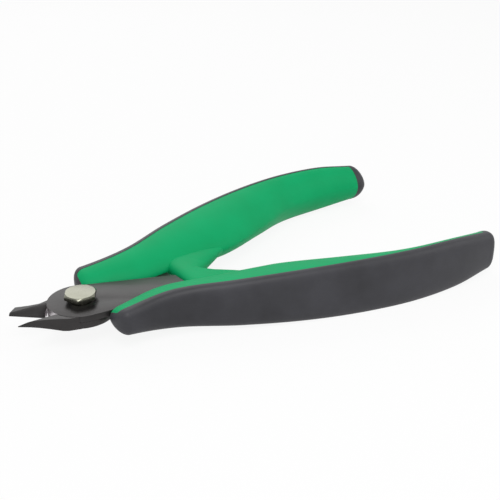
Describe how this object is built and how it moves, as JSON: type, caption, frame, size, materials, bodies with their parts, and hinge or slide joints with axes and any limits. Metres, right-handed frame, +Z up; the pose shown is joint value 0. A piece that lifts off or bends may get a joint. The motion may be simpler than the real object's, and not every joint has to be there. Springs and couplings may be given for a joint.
{
  "type": "flush cutter",
  "caption": "Small flush cutter for electronics: crossed stamped levers on a hex-head pivot, two-component grips and a moulded plastic web that springs the handles open.",
  "frame": {"origin": "bottom centre of the tool as it lies flat and open, on the surface it rests on", "axes": "+X from the jaws to the handle ends, +Y to the right-hand handle, +Z up, along the pivot axis"},
  "size_m": [0.1382, 0.0742, 0.0159],
  "materials": {
    "blade_steel": "dark blackened, fine ground",
    "pivot_steel": "bright turned, satin top",
    "hard_grip": "satin moulded",
    "soft_grip": "soft matte overmould"
  },
  "bodies": {
    "right_lever": {"lower_blade": "blade_steel", "pivot_screw": "pivot_steel", "pivot_nut": "pivot_steel", "spring_web": "hard_grip", "right_grip_core": "hard_grip", "right_overmould": "soft_grip"},
    "left_lever": {"upper_blade": "blade_steel", "left_grip_core": "hard_grip", "left_overmould": "soft_grip"}
  },
  "joints": [
    {"name": "pivot", "type": "hinge", "parent": "right_lever", "child": "left_lever", "pos_m": [-0.05039, 0, 0.0077], "axis": [0, 0, 1], "range_deg": [0, 20], "stiffness_Nm_per_rad": 0.3, "deforming": ["spring_web"]}
  ]
}
